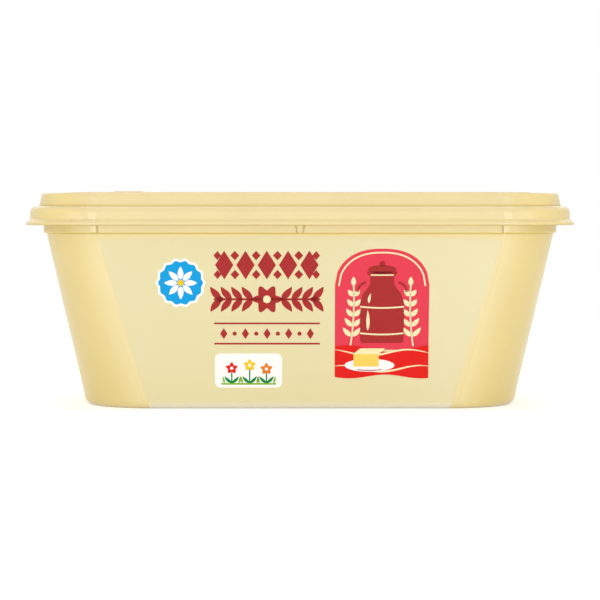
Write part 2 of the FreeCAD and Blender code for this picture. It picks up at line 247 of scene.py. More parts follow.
def painted_crease_shade():
    """A line of painted shade round the piece: one at its height, and falling smoothly to none within
    its reach above and below. A slow noise makes it a little stronger and weaker along its way."""
    tree, given, result = new_group(
        "painted_crease_shade", {"Height": 0.0, "Reach": 0.3 * MM, "Strength": 1.0}, {"Mask": "NodeSocketFloat"}
    )
    place = put(tree, "ShaderNodeTexCoord").outputs["Object"]
    height = put(tree, "ShaderNodeSeparateXYZ", {"Vector": place}).outputs["Z"]
    away = maths(tree, "ABSOLUTE", maths(tree, "SUBTRACT", height, given.outputs["Height"]), 0.0)
    share = maths(tree, "DIVIDE", away, given.outputs["Reach"])
    line = maths(tree, "SUBTRACT", 1.0, smooth(tree, share, 0.0, 1.0))
    uneven = spread(tree, noise(tree, 90, 2.0), 0.88, 1.0)
    strength = maths(tree, "MULTIPLY", given.outputs["Strength"], uneven)
    tree.links.new(maths(tree, "MULTIPLY", line, strength), result.inputs["Mask"])
    return tree


CREASE_SHADE = painted_crease_shade()
print("group:", CREASE_SHADE.name, [item.name for item in CREASE_SHADE.interface.items_tree])

# %% Where a wall turns a corner


def corner():
    """How far an upright wall has turned a corner: the bend is the size of 2 nx ny, where n is the
    surface's normal, so it is none on the flat sides and ends and one halfway round. The mask is the
    bend with its ends smoothed, and places the corners' painted light and shade. The onset is one where
    the bend has just begun, in the narrow band that the tool's polishing leaves glossier."""
    tree, given, result = new_group(
        "corner",
        {"Begin": 0.04, "End": 0.23, "Blur": 0.02},
        {"Mask": "NodeSocketFloat", "Onset": "NodeSocketFloat"},
    )
    normal = put(tree, "ShaderNodeNewGeometry").outputs["Normal"]
    split = put(tree, "ShaderNodeSeparateXYZ", {"Vector": normal}).outputs
    product = maths(tree, "ABSOLUTE", maths(tree, "MULTIPLY", split["X"], split["Y"]), 0.0)
    bend = maths(tree, "MULTIPLY", product, 2.0)
    give = given.outputs
    edges = []
    for edge in ("Begin", "End"):
        low = maths(tree, "SUBTRACT", give[edge], give["Blur"])
        high = maths(tree, "ADD", give[edge], give["Blur"])
        edges.append(smooth(tree, bend, low, high))
    tree.links.new(smooth(tree, bend, 0.0, 1.0), result.inputs["Mask"])
    tree.links.new(maths(tree, "SUBTRACT", edges[0], edges[1]), result.inputs["Onset"])
    return tree


CORNER = corner()
print("group:", CORNER.name, [item.name for item in CORNER.interface.items_tree])

# %% Start a material and tint a colour

PLASTIC_IOR = 1.49


def new_material(name):
    """An empty material with a Principled shader joined to its output."""
    material = bpy.data.materials.new(name)
    material.use_nodes = True
    material.node_tree.nodes.clear()
    shader = put(material.node_tree, "ShaderNodeBsdfPrincipled", {"IOR": PLASTIC_IOR})
    put(material.node_tree, "ShaderNodeOutputMaterial", {"Surface": shader.outputs["BSDF"]})
    return material, material.node_tree, shader


def tinted(tree, colour, shade):
    """A colour multiplied by a shade near one."""
    grey = put(tree, "ShaderNodeCombineColor", {"Red": shade, "Green": shade, "Blue": shade})
    mix = put(tree, "ShaderNodeMix", data_type="RGBA", blend_type="MULTIPLY", clamp_result=False)
    mix.inputs["Factor"].default_value = 1.0
    tree.links.new(grey.outputs[0], mix.inputs["B"])
    if isinstance(colour, bpy.types.NodeSocket):
        tree.links.new(colour, mix.inputs["A"])
    else:
        mix.inputs["A"].default_value = colour
    return mix.outputs["Result"]


# %% [markdown]
# ## Butter-coloured plastic
#
# Tub and lid are polypropylene, coloured through. It is satin, a little translucent, and brightest where
# it faces the light. The two mouldings come from different tools, so the lid's waves are smaller. The
# lid's flat colour is set a touch darker than the tub's: painted shade that evens out the stronger light
# on its upright walls.

# %% Plastic for the tub and the lid

CORNER_POLISH = 0.55  # what is left of the roughness in the polished band


def blend(tree, mask, first, second):
    """The first colour where the mask is none, and the second where it is one."""
    mix = put(tree, "ShaderNodeMix", {"Factor": mask}, data_type="RGBA")
    for label, colour in (("A", first), ("B", second)):
        if isinstance(colour, bpy.types.NodeSocket):
            tree.links.new(colour, mix.inputs[label])
        else:
            mix.inputs[label].default_value = colour
    return mix.outputs["Result"]


def butter_plastic(name, colours, crease_shades, **surface):
    """Satin plastic: the moulded surface drives its shade, its roughness and its normal. The three
    colours are those of the flat sides, of the corners, where the colour is painted light and shade for
    how the lamps fall round them, and of the creases, which are painted shade and are given with their
    height, reach and strength."""
    material, tree, shader = new_material(name)
    skin = put(tree, "ShaderNodeGroup", node_tree=MOULDED)
    for label, value in surface.items():
        skin.inputs[label].default_value = value
    flat, painted_corner_tone, crease_shade_colour = colours
    turn = put(tree, "ShaderNodeGroup", node_tree=CORNER)
    # The corners' colour is painted light and shade: lighter or darker by how the lamps fall round them.
    colour = blend(tree, turn.outputs["Mask"], flat, painted_corner_tone)
    # Painted shade along each crease: the darker crease colour is blended in.
    for height, reach, strength in crease_shades:
        line = put(tree, "ShaderNodeGroup", node_tree=CREASE_SHADE)
        line.inputs["Height"].default_value = height * MM
        line.inputs["Reach"].default_value = reach * MM
        line.inputs["Strength"].default_value = strength
        colour = blend(tree, line.outputs["Mask"], colour, crease_shade_colour)
    tree.links.new(tinted(tree, colour, skin.outputs["Shade"]), shader.inputs["Base Color"])
    polish = remap(tree, turn.outputs["Onset"], 0.0, 1.0, 1.0, CORNER_POLISH)
    rough = maths(tree, "MULTIPLY", skin.outputs["Roughness"], polish)
    tree.links.new(rough, shader.inputs["Roughness"])
    tree.links.new(skin.outputs["Normal"], shader.inputs["Normal"])
    return material


def dress(node, material):
    """Gives every slot of a CAD node one material."""
    for slot in node.material_slots:
        slot.material = material


# Flat sides, corners, creases. The corners are painted light and shade and the creases are painted
# shade. The lid's flat colour is set darker than the tub's, as painted shade for the stronger light on
# its upright walls.
TUB_COLOURS = screen(240, 223, 167), screen(234, 212, 142), screen(216, 191, 70)
LID_COLOURS = screen(229, 209, 153), screen(240, 217, 148), screen(213, 192, 118)
# Painted crease shade: height, reach, both in millimetres, and strength.
TUB_CREASE_SHADES = [(46.23, 0.36, 1.0)]
LID_CREASE_SHADES = [(53.48, 0.36, 1.0), (48.33, 0.5, 1.0)]
tub_plastic = butter_plastic(
    "tub_plastic_look", TUB_COLOURS, TUB_CREASE_SHADES, Wave=0.06 * MM, Roughness=0.3
)
lid_plastic = butter_plastic(
    "lid_plastic_look", LID_COLOURS, LID_CREASE_SHADES, Wave=0.03 * MM, Roughness=0.27
)
dress(TUB, tub_plastic)
dress(LID, lid_plastic)

# %% [markdown]
# ## The printed film
#
# The print isn't on the tub itself but on a film that is laid in the mould and fuses to the wall. It
# covers the flat of each long side, from a slightly bowed top edge down round the base edge. Its
# ground is a cooler, paler yellow that lightens to the right, under a thin glossy lacquer.

# %% The film's shape

FILM_TOP_MIDDLE = 45.55
FILM_TOP_ENDS = 44.75
FILM_HALF_TOP = 52.2
FILM_HALF_FOOT = 39.5
FILM_LIFT = 0.05 * MM
FILM_THICKNESS = 0.05 * MM
FILM_TURN_UNDER = 70
GROUND_LEFT = screen(230, 219, 171)
GROUND_RIGHT = screen(234, 224, 179)
# Round the base edge: a painted reflection of the white floor.
GROUND_FLOOR_REFLECTION = screen(245, 239, 221)
ORANGE_PEEL = 0.006 * MM


def film_half_width(z):
    """Half the film's width at a height in millimetres: a straight line from foot to top."""
    return FILM_HALF_FOOT + (FILM_HALF_TOP - FILM_HALF_FOOT) * z / FILM_TOP_ENDS


def film_grid(columns=49, rows=25, turns=9):
    """P(v, u): u runs across from -1 to 1. v runs up the base round, where the point is the round's
    centre plus its radius along the normal, and then straight up the wall to the bowed top edge,
    whose height falls off as u squared."""
    u = np.linspace(-1, 1, columns)
    top = FILM_TOP_MIDDLE - (FILM_TOP_MIDDLE - FILM_TOP_ENDS) * u**2
    foot = wall_foot[2] / MM
    v = np.linspace(0, 1, rows)[:, None]
    height = foot + (top - foot) * v
    flat = np.stack([u * film_half_width(height), height], axis=-1)
    wall = on_wall(flat, FILM_LIFT)
    angle = np.radians(np.linspace(FILM_TURN_UNDER, math.degrees(LEAN), turns, endpoint=False))[:, None]
    radius = BASE_ROUND + FILM_LIFT
    centre_y = wall_foot[1] + BASE_ROUND * math.cos(LEAN)
    y = centre_y - radius * np.cos(angle)
    z = BASE_ROUND - radius * np.sin(angle)
    x = u * film_half_width(z / MM) * MM
    under = np.stack([x, np.broadcast_to(y, x.shape), np.broadcast_to(z, x.shape)], axis=-1)
    return np.concatenate([under, wall])


def film_look():
    """The film's ground colour by place, a fine mottle, and the lacquer's slight orange peel. The ground
    lightens to the right, and round the base edge it turns paler, as a painted reflection of the white
    floor."""
    material, tree, shader = new_material("film_look")
    place = put(tree, "ShaderNodeTexCoord").outputs["Object"]
    split = put(tree, "ShaderNodeSeparateXYZ", {"Vector": place})
    across = remap(tree, split.outputs["X"], 0.0, 0.05, 0.0, 1.0)
    ground = blend(tree, across, GROUND_LEFT, GROUND_RIGHT)
    # Painted reflection of the white floor: the ground turns paler round the base edge.
    floor_reflection = remap(tree, split.outputs["Z"], 0.2 * MM, 2.1 * MM, 1.0, 0.0)
    ground = blend(tree, floor_reflection, ground, GROUND_FLOOR_REFLECTION)
    shade = spread(tree, noise(tree, 900, 3.0), 0.996, 1.004)
    tree.links.new(tinted(tree, ground, shade), shader.inputs["Base Color"])
    peel = put(tree, "ShaderNodeBump", {"Height": noise(tree, 420, 2.0), "Distance": ORANGE_PEEL})
    sway = put(tree, "ShaderNodeBump", {"Height": noise(tree, 34, 1.0), "Distance": 0.05 * MM})
    tree.links.new(sway.outputs[0], peel.inputs["Normal"])
    tree.links.new(peel.outputs[0], shader.inputs["Normal"])
    rough = spread(tree, noise(tree, 180, 4.0), 0.34, 0.42)
    tree.links.new(rough, shader.inputs["Roughness"])
    return material


def finish(piece, material):
    """Dresses a piece and ties it to the tub."""
    piece.data.materials.append(material)
    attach(piece, "root")
    return piece


front_film = film_grid()
finish(mesh_of("film", [front_film, turned(front_film)], FILM_THICKNESS), film_look())

# %% [markdown]
# ## Shapes for the print
#
# Every printed shape is a patch between two curves: P(u, v) = (1 - v) a(u) + v b(u). A disc lies
# between its lower and its upper arc, a leaf between its two edges, and a line between the two
# sides of its path. So one small function draws them all, and each stays crisp from close by.

# %% Patches


def between(first, second, steps=2):
    """The patch between two curves of equal length, with the first below or to the right."""
    v = np.linspace(0, 1, steps + 1)[:, None, None]
    return (1 - v) * first + v * second


def arc(x, z, radius, start, stop, count=33):
    """Points (x + r cos a, z + r sin a). The radius may be a function of the angle."""
    angle = np.radians(np.linspace(start, stop, count))
    reach = radius(angle) if callable(radius) else radius
    return np.stack([x + reach * np.cos(angle), z + reach * np.sin(angle)], axis=-1)


def blob(x, z, radius, count=33):
    """A disc, or any shape round a point whose radius is a function of the angle."""
    return between(arc(x, z, radius, 180, 360, count), arc(x, z, radius, 180, 0, count), 6)


def oval(half_width, half_height):
    """An ellipse's radius as a function of the angle: one over the root of (cos a / half width)
    squared plus (sin a / half height) squared."""
    return lambda a: 1 / np.sqrt((np.cos(a) / half_width) ** 2 + (np.sin(a) / half_height) ** 2)


def ribbon(path, width):
    """A line of a width along a path: the path moved half the width to each side. The width may
    change along the path."""
    along = np.gradient(path, axis=0)
    along /= np.linalg.norm(along, axis=1, keepdims=True)
    side = np.stack([-along[:, 1], along[:, 0]], axis=-1)
    half = 0.5 * np.broadcast_to(width, len(path))[:, None]
    return between(path - side * half, path + side * half)


def curve(x, z, length, heading, bend=0.0, count=17):
    """A path that starts at a point and turns steadily by the bend, in degrees, as it goes."""
    t = np.linspace(0, 1, count)
    angle = np.radians(heading + bend * (t - 0.5))
    step = np.stack([np.cos(angle), np.sin(angle)], axis=-1) * length / (count - 1)
    return np.array([x, z]) + np.concatenate([np.zeros((1, 2)), np.cumsum(step[1:], axis=0)])


def leaf(x, z, length, width, heading, bend=0.0, count=17):
    """A leaf along a curve: its width is that of a sine from tip to tip, fuller towards its foot."""
    t = np.linspace(0, 1, count)
    return ribbon(curve(x, z, length, heading, bend, count), width * np.sin(np.pi * t**0.8) ** 0.85)


def lozenge(x, z, width, height):
    """A lozenge: a line whose width grows to the middle and shrinks again."""
    path = np.array([[x, z - height / 2], [x, z], [x, z + height / 2]])
    return ribbon(path, np.array([0.0, width, 0.0]))


def bar(left, right, foot, top):
    """A plain rectangle."""
    low = np.array([[left, foot], [right, foot]])
    return between(low, low + np.array([0.0, top - foot]), 1)


def plate(left, right, foot, top, corner):
    """A rectangle with round corners, between its lower half outline and its upper one."""
    middle = (foot + top) / 2
    left_corner = arc(left + corner, top - corner, corner, 180, 90, 9)
    right_corner = arc(right - corner, top - corner, corner, 90, 0, 9)
    upper = np.concatenate([[[left, middle]], left_corner, right_corner, [[right, middle]]])
    lower = upper * [1, -1] + [0, 2 * middle]
    return between(lower, upper)


# %% Ink


def printed_ink():
    """Ink on the film: a fine uneven density and the lacquer's orange peel over it."""
    tree, given, result = new_group(
        "printed ink",
        {"Density": 0.03, "Roughness": 0.36},
        {"Shade": "NodeSocketFloat", "Roughness": "NodeSocketFloat", "Normal": "NodeSocketVector"},
    )
    give = given.outputs
    low = maths(tree, "SUBTRACT", 1.0, give["Density"])
    high = maths(tree, "ADD", 1.0, give["Density"])
    shade = spread(tree, noise(tree, 1600, 3.0), low, high)
    rough = maths(tree, "ADD", give["Roughness"], maths(tree, "MULTIPLY", noise(tree, 180, 4.0), 0.06))
    peel = put(tree, "ShaderNodeBump", {"Height": noise(tree, 420, 2.0), "Distance": ORANGE_PEEL})
    tree.links.new(shade, result.inputs["Shade"])
    tree.links.new(rough, result.inputs["Roughness"])
    tree.links.new(peel.outputs[0], result.inputs["Normal"])
    return tree


PRINTED = printed_ink()


def ink(name, colour):
    """An ink's material. It lies under the lacquer, so its own highlight is weak."""
    material, tree, shader = new_material(name + "_ink")
    shader.inputs["Specular IOR Level"].default_value = 0.2
    skin = put(tree, "ShaderNodeGroup", node_tree=PRINTED)
    tree.links.new(tinted(tree, colour, skin.outputs["Shade"]), shader.inputs["Base Color"])
    tree.links.new(skin.outputs["Roughness"], shader.inputs["Roughness"])
    tree.links.new(skin.outputs["Normal"], shader.inputs["Normal"])
    return material


INKS = {
    "deep_red": ink("deep_red", screen(170, 42, 42)),
    "rose": ink("rose", screen(230, 62, 82)),
    "bright_red": ink("bright_red", screen(228, 24, 18)),
    "sky_blue": ink("sky_blue", screen(0, 160, 226)),
    "white": ink("white", screen(252, 252, 250)),
    "cream": ink("cream", screen(244, 233, 186)),
    "green": ink("green", screen(0, 132, 62)),
    "leaf_green": ink("leaf_green", screen(131, 184, 34)),
    "yellow": ink("yellow", screen(252, 202, 10)),
    "orange": ink("orange", screen(236, 122, 6)),
    "butter": ink("butter", screen(250, 214, 98)),
    "pale_butter": ink("pale_butter", screen(253, 238, 184)),
}
LAYER = 0.03 * MM
PRINT_THICKNESS = 0.02 * MM


def print_shapes(name, colour, patches, layer=1, both_sides=False):
    """Prints patches in one ink. Each layer lies a little above the one before it."""
    grids = [on_wall(patch, FILM_LIFT + layer * LAYER) for patch in patches]
    if both_sides:
        grids = grids + [turned(grid) for grid in grids]
    return finish(mesh_of(name, grids, PRINT_THICKNESS), INKS[colour])


# %% [markdown]
# ## The ornament rows
#
# Two bold rows in deep red carry the front: a chain of lozenges, and under it a garland of leaves
# on a stem. Below them two fine rules hold a row of small lozenges.

# %% Rows and rules

ROWS_LEFT, ROWS_RIGHT = -22.4, 5.2
ROWS_MIDDLE = (ROWS_LEFT + ROWS_RIGHT) / 2
CHAIN_FOOT, CHAIN_TOP = 34.3, 41.8
GARLAND_FOOT, GARLAND_TOP = 25.3, 32.9
RULE_HEIGHTS = (22.75, 17.4)
RULE_HALF = 0.23
BEADS_HEIGHT = 20.05
STEM_HALF = 0.28
BLOSSOM_RADIUS, BLOSSOM_SWING, BLOSSOM_PETALS = 3.1, 0.75, 6
BLOSSOM_HEART = 29.1


def lozenge_chain(count=5):
    """Tall lozenges side by side, each with a small one above and below the gap to its neighbour."""
    pitch = (ROWS_RIGHT - ROWS_LEFT) / count
    middle = (CHAIN_FOOT + CHAIN_TOP) / 2
    height = CHAIN_TOP - CHAIN_FOOT
    small = [middle + side * height * 0.33 for side in (-1, 1)]
    shapes = []
    for n in range(count):
        x = ROWS_LEFT + (n + 0.5) * pitch
        shapes.append(lozenge(x, middle, pitch * 0.86, height))
        if n:
            shapes += [lozenge(x - pitch / 2, z, 2.3, 2.5) for z in small]
    for end in (-1, 1):
        x = ROWS_MIDDLE + end * (ROWS_RIGHT - ROWS_LEFT) / 2
        shapes += [lozenge(x - end * 1.0, z, 2.0, 2.4) for z in small]
    return shapes


def blossom(angle):
    """The blossom's outline: a radius that swings once for each petal."""
    return BLOSSOM_RADIUS + BLOSSOM_SWING * np.cos(BLOSSOM_PETALS * angle)


def garland(pairs=4):
    """A stem with pairs of leaves that lean away from the middle, and a blossom at the centre."""
    middle = (GARLAND_FOOT + GARLAND_TOP) / 2
    half = (ROWS_RIGHT - ROWS_LEFT) / 2
    shapes = [bar(ROWS_LEFT + 1.2, ROWS_RIGHT - 1.2, middle - STEM_HALF, middle + STEM_HALF)]
    shapes.append(blob(ROWS_MIDDLE, middle, blossom, 49))
    for side in (-1, 1):
        for n in range(pairs):
            x = ROWS_MIDDLE + side * (3.7 + n * (half - 5.6) / (pairs - 1))
            for up in (-1, 1):
                heading = 90 - side * 42 if up > 0 else 270 + side * 42
                shapes.append(leaf(x, middle + up * 0.1, 4.3, 1.75, heading, side * up * 26))
        shapes.append(leaf(ROWS_MIDDLE + side * (half - 2.7), middle, 2.9, 1.5, 90 - side * 90))
    return shapes


def rules(count=9):
    """Two thin lines with small lozenges and dots by turns between them."""
    shapes = [bar(ROWS_LEFT, ROWS_RIGHT, z - RULE_HALF, z + RULE_HALF) for z in RULE_HEIGHTS]
    pitch = (ROWS_RIGHT - ROWS_LEFT - 5) / (count - 1)
    for n in range(count):
        x = ROWS_LEFT + 2.5 + n * pitch
        if n % 2 == 0:
            shapes.append(lozenge(x, BEADS_HEIGHT, 1.9, 2.9))
        else:
            shapes.append(blob(x, BEADS_HEIGHT, 0.55, 13))
    return shapes


rows = lozenge_chain() + garland() + rules()
blossom_heart = blob(ROWS_MIDDLE, BLOSSOM_HEART, 1.0)
print_shapes("ornament_rows", "deep_red", rows, both_sides=True)
print_shapes("ornament_blossom_heart", "cream", [blossom_heart], 2, both_sides=True)

# %% [markdown]
# ## The blue seal
#
# A scalloped seal stands to the left of the rows: a blue disc on a white rim, with a daisy.

# %% Seal

SEAL_X, SEAL_Z = -31.0, 33.4
SEAL_SCALLOPS = 14
SEAL_POINTS = 8 * SEAL_SCALLOPS + 1
RIM_RADIUS, RIM_SWING = 6.25, 0.24
GROUND_RADIUS, GROUND_SWING = 5.6, 0.22


def scalloped(radius, depth):
    """A circle whose radius swings by the depth, once for each scallop."""
    return lambda angle: radius + depth * np.cos(SEAL_SCALLOPS * angle)


def daisy(x, z, petals, inner, outer, width):
    """Petals set round a point, each a leaf that runs outwards."""
    shapes = []
    for heading in 90 + np.arange(petals) * 360 / petals:
        angle = math.radians(heading)
        foot_x = x + inner * math.cos(angle)
        foot_z = z + inner * math.sin(angle)
        shapes.append(leaf(foot_x, foot_z, outer - inner, width, heading))
    return shapes


rim = blob(SEAL_X, SEAL_Z, scalloped(RIM_RADIUS, RIM_SWING), SEAL_POINTS)
ground = blob(SEAL_X, SEAL_Z, scalloped(GROUND_RADIUS, GROUND_SWING), SEAL_POINTS)
print_shapes("seal_rim", "white", [rim], 1)
print_shapes("seal_ground", "sky_blue", [ground], 2)
print_shapes("seal_daisy", "white", daisy(SEAL_X, SEAL_Z, 8, 0.9, 4.3, 1.5), 3)
print_shapes("seal_heart", "yellow", [blob(SEAL_X, SEAL_Z, 0.8)], 3)

# %% [markdown]
# ## The meadow plate
#
# Low on the left a small white plate carries three field flowers in green, yellow, orange and red.

# %% Meadow plate

PLATE_LEFT, PLATE_RIGHT, PLATE_FOOT, PLATE_TOP = -22.3, -4.7, 5.7, 14.8
PLATE_CORNER = 1.5
GRASS_MARGIN = 1.6
# Name, place of the flower's middle, and ink.
FLOWERS = (
    ("red", -17.9, 10.9, "bright_red"),
    ("gold", -13.2, 11.7, "yellow"),
    ("amber", -8.8, 10.7, "orange"),
)


def five_petals(angle):
    """A field flower's outline: a radius that swings five times on its way round."""
    return 1.25 + 0.32 * np.cos(5 * angle - 0.5 * math.pi)


white_plate = plate(PLATE_LEFT, PLATE_RIGHT, PLATE_FOOT, PLATE_TOP, PLATE_CORNER)
grass = bar(PLATE_LEFT + GRASS_MARGIN, PLATE_RIGHT - GRASS_MARGIN, 6.5, 6.95)
print_shapes("meadow_plate", "white", [white_plate], 1)
stems, blades = [], []
for label, x, z, colour in FLOWERS:
    stems.append(ribbon(np.array([[x, 6.9], [x, z]]), 0.34))
    stems += [leaf(x, 7.0, 2.6, 0.8, 90 + s * 48, -s * 30) for s in (-1, 1)]
    blades += [leaf(x + s * 1.9, 6.9, 1.9, 0.55, 90 - s * 14) for s in (-1, 1)]
    print_shapes(f"meadow_{label}_flower", colour, [blob(x, z, five_petals, 41)], 3)
print_shapes("meadow_stems", "green", stems, 2)
print_shapes("meadow_blades", "leaf_green", blades + [grass], 2)
print_shapes("meadow_hearts", "white", [blob(x, z, 0.42, 17) for _, x, z, _ in FLOWERS], 4)

# %% [markdown]
# ## The dairy picture
#
# On the right is the largest print: a milk churn in deep red before a rose-red arch, between two
# leafy sprigs, with a pat of butter on a plate in front of it on a bright red cloth.

# %% Arch, churn and cloth

PICTURE_LEFT, PICTURE_RIGHT, PICTURE_FOOT, PICTURE_TOP = 9.1, 33.6, 8.2, 42.3
PICTURE_X = (PICTURE_LEFT + PICTURE_RIGHT) / 2
PICTURE_HALF = (PICTURE_RIGHT - PICTURE_LEFT) / 2
CLOTH_TOP = 17.0
ARCH_SPRING, ARCH_LINE_SPRING = 33.0, 32.6
ARCH_FULLNESS = 2.4
LINE_INSET = 1.0


def arched(half, foot, spring, top, count=41):
    """An arch: from its foot up to where it springs, then over the top. The rise at x, from -1 to
    1, is the root of 1 less the size of x to the power of the fullness."""
    x = np.linspace(-1, 1, count)
    rise = (top - spring) * np.sqrt(np.clip(1 - np.abs(x) ** ARCH_FULLNESS, 0, 1))
    upper = np.stack([PICTURE_X + half * x, spring + rise], axis=-1)
    lower = np.stack([PICTURE_X + half * x, np.full(count, foot)], axis=-1)
    return lower, upper


def churn_outline():
    """The churn's half width at sixty heights, in straight lines between the foot, the belly, the
    shoulder, the neck and the collar."""
    heights = np.array([17.6, 18.0, 24.0, 28.4, 30.6, 32.4, 33.2, 35.2, 35.7, 36.4])
    halves = np.array([5.2, 5.6, 5.8, 5.7, 4.9, 3.5, 3.1, 3.1, 3.8, 3.9])
    z = np.linspace(heights[0], heights[-1], 60)
    return z, np.interp(z, heights, halves)


def churn():
    """The churn's body, the dome and knob of its lid, and a handle curving out at each shoulder."""
    z, half = churn_outline()
    left = np.stack([PICTURE_X - half, z], axis=-1)
    right = np.stack([PICTURE_X + half, z], axis=-1)
    lid_dome = blob(PICTURE_X, 36.9, oval(3.7, 1.15))
    knob = blob(PICTURE_X, 38.4, 0.75, 17)
    handles = []
    for side in (-1, 1):
        path = arc(PICTURE_X + side * 4.0, 31.2, 2.3, 90 - side * 95, 90 - side * 5, 15)
        handles.append(ribbon(path[::side], 0.62))
    return [between(right, left), lid_dome, knob, *handles]


def wave(t, turns, start):
    """A sine that makes the given number of turns while t runs from 0 to 1."""
    return np.sin(2 * math.pi * (t * turns + start))


def cloth():
    """A wavy cloth: its top edge rises and falls as a sine, and its lower edge more gently."""
    x = np.linspace(PICTURE_LEFT, PICTURE_RIGHT, 61)
    t = (x - PICTURE_LEFT) / (PICTURE_RIGHT - PICTURE_LEFT)
    top = CLOTH_TOP - 0.9 + 0.9 * wave(t, 1.1, 0.1)
    foot = PICTURE_FOOT + 0.5 + 0.5 * wave(t, 1.3, 0.55)
    return [between(np.stack([x, foot], axis=-1), np.stack([x, top], axis=-1))]


def cloth_folds():
    """Pale lines that follow the cloth's waves."""
    x = np.linspace(PICTURE_LEFT, PICTURE_RIGHT, 61)
    t = (x - PICTURE_LEFT) / (PICTURE_RIGHT - PICTURE_LEFT)
    width = 0.5 * np.sin(np.pi * np.clip(t, 0.02, 0.98)) ** 0.5
    lines = []
    for share in (0.3, 0.78):
        height = PICTURE_FOOT + share * (CLOTH_TOP - PICTURE_FOOT)
        z = height + 0.8 * wave(t, 1.2, 0.05 + share / 3)
        lines.append(ribbon(np.stack([x, z], axis=-1), width))
    return lines


lower, upper = arched(PICTURE_HALF, CLOTH_TOP - 1.2, ARCH_SPRING, PICTURE_TOP)
print_shapes("picture_arch", "rose", [between(lower, upper)], 1, both_sides=True)
lower, upper = arched(
    PICTURE_HALF - LINE_INSET, CLOTH_TOP, ARCH_LINE_SPRING, PICTURE_TOP - LINE_INSET
)
print_shapes("picture_arch_line", "cream", [ribbon(upper, 0.42)], 2, both_sides=True)
print_shapes("picture_churn", "deep_red", churn(), 3, both_sides=True)
print_shapes("picture_cloth", "bright_red", cloth(), 4, both_sides=True)
print_shapes("picture_cloth_folds", "cream", cloth_folds(), 5, both_sides=True)

# %% Highlights on the churn and the sprigs beside it

HOOP_HEIGHTS = (20.2, 27.2)
HOOP_SAG = 0.35
COLLAR_LINE = 35.45


def churn_lights():
    """Two hoops that sag by a parabola, two lights down the left side and a line at the collar."""
    z, half = churn_outline()
    shapes = []
    for height in HOOP_HEIGHTS:
        reach = np.interp(height, z, half)
        x = np.linspace(-reach, reach, 15)
        sag = HOOP_SAG * (1 - (x / reach) ** 2)
        shapes.append(ribbon(np.stack([PICTURE_X + x, height - sag], axis=-1), 0.42))
    shapes.append(leaf(PICTURE_X - 3.7, 20.9, 5.4, 0.9, 90, 8))
    shapes.append(leaf(PICTURE_X - 3.4, 28.1, 2.6, 0.7, 80, -30))
    x = PICTURE_X + np.linspace(-3.0, 3.0, 9)
    shapes.append(ribbon(np.stack([x, np.full(9, COLLAR_LINE)], axis=-1), 0.34))
    return shapes


def sprig(side):
    """A stem that curves up beside the churn, with leaves by turns left and right, and a bud."""
    path = curve(PICTURE_X + side * 8.2, CLOTH_TOP - 0.2, 16.0, 90 + side * 3, -side * 12, 25)
    shapes = [ribbon(path, 0.4)]
    for n, index in enumerate(range(4, 24, 4)):
        x, z = path[index]
        size = 3.3 - 0.28 * n
        shapes += [leaf(x, z, size, 1.25, 90 + s * 46, -s * 30) for s in (-1, 1)]
    x, z = path[-1]
    shapes.append(leaf(x, z - 0.1, 2.4, 1.3, 90))
    return shapes


print_shapes("picture_churn_lights", "cream", churn_lights(), 4, both_sides=True)
print_shapes("picture_sprigs", "cream", sprig(-1) + sprig(1), 3, both_sides=True)

# %% Butter on its plate

PAT_X, PAT_Z = 17.6, 12.3
PAT_LEFT, PAT_RIGHT = PAT_X - 3.6, PAT_X + 3.0
PAT_TOP = PAT_Z + 2.4
DISH_X, DISH_Z = PAT_X + 0.6, PAT_Z - 0.6


def slanted(x, z, width, height, shift):
    """A face of the pat: a rectangle whose top edge is moved sideways."""
    low = np.array([[x, z], [x + width, z]])
    return between(low, low + np.array([shift, height]), 1)


dish = blob(DISH_X, DISH_Z, oval(6.6, 1.7))
dish_line = ribbon(arc(DISH_X, DISH_Z, oval(6.1, 1.35), 200, 340), 0.22)
front_face = bar(PAT_LEFT, PAT_RIGHT, PAT_Z - 0.9, PAT_TOP)
top_face = slanted(PAT_LEFT, PAT_TOP, PAT_RIGHT - PAT_LEFT, 1.5, 1.7)
print_shapes("butter_plate", "white", [dish], 6, both_sides=True)
print_shapes("butter_plate_line", "deep_red", [dish_line], 7, both_sides=True)
print_shapes("butter_front", "butter", [front_face], 8, both_sides=True)
print_shapes("butter_top", "pale_butter", [top_face], 8, both_sides=True)

# %% [markdown]
# ## Studio
#
# A plain white sweep under an even sky. Three lamps stand low in front, so that their light comes in
# level and reaches under the lid's skirt. A higher one in front, one overhead, one behind and one
# at each end add a little shape, so that the tub looks right from every side. The sweep and the sky
# look white to the camera and in reflections only, so the light on the tub stays at a plain level.

# %% Sweep, sky and lamps

FLOOR_DROP = 0.03 * MM
PAPER = (0.92, 0.92, 0.92, 1)


def sweep():
    """A floor that curves up into a wall: straight, a quarter circle, then straight up. It lies a
    hair below the foot ring, so that the two never share a plane."""
    reach, bend, rise, half = 2.5, 0.8, 2.0, 4.0
    angle = np.radians(np.linspace(-90, 0, 17))
    turn = np.stack([reach + bend * np.cos(angle), bend + bend * np.sin(angle)], axis=-1)
    profile = np.concatenate([[[-4.0, 0.0]], turn, [[reach + bend, bend + rise]]])
    u = np.linspace(-half, half, 9)
    rows, columns = np.meshgrid(np.arange(len(profile)), np.arange(9), indexing="ij")
    points = np.stack([u[columns], profile[rows, 0], profile[rows, 1] - FLOOR_DROP], axis=-1)
    mesh = bpy.data.meshes.new("floor")
    index = np.arange(points.shape[0] * 9).reshape(-1, 9)
    quads = np.stack([index[:-1, :-1], index[:-1, 1:], index[1:, 1:], index[1:, :-1]], axis=-1)
    mesh.from_pydata(points.reshape(-1, 3).tolist(), [], quads.reshape(-1, 4).tolist())
    mesh.polygons.foreach_set("use_smooth", np.ones(len(mesh.polygons), dtype=bool))
    floor = bpy.data.objects.new("floor", mesh)
    bpy.context.scene.collection.objects.link(floor)
    return floor


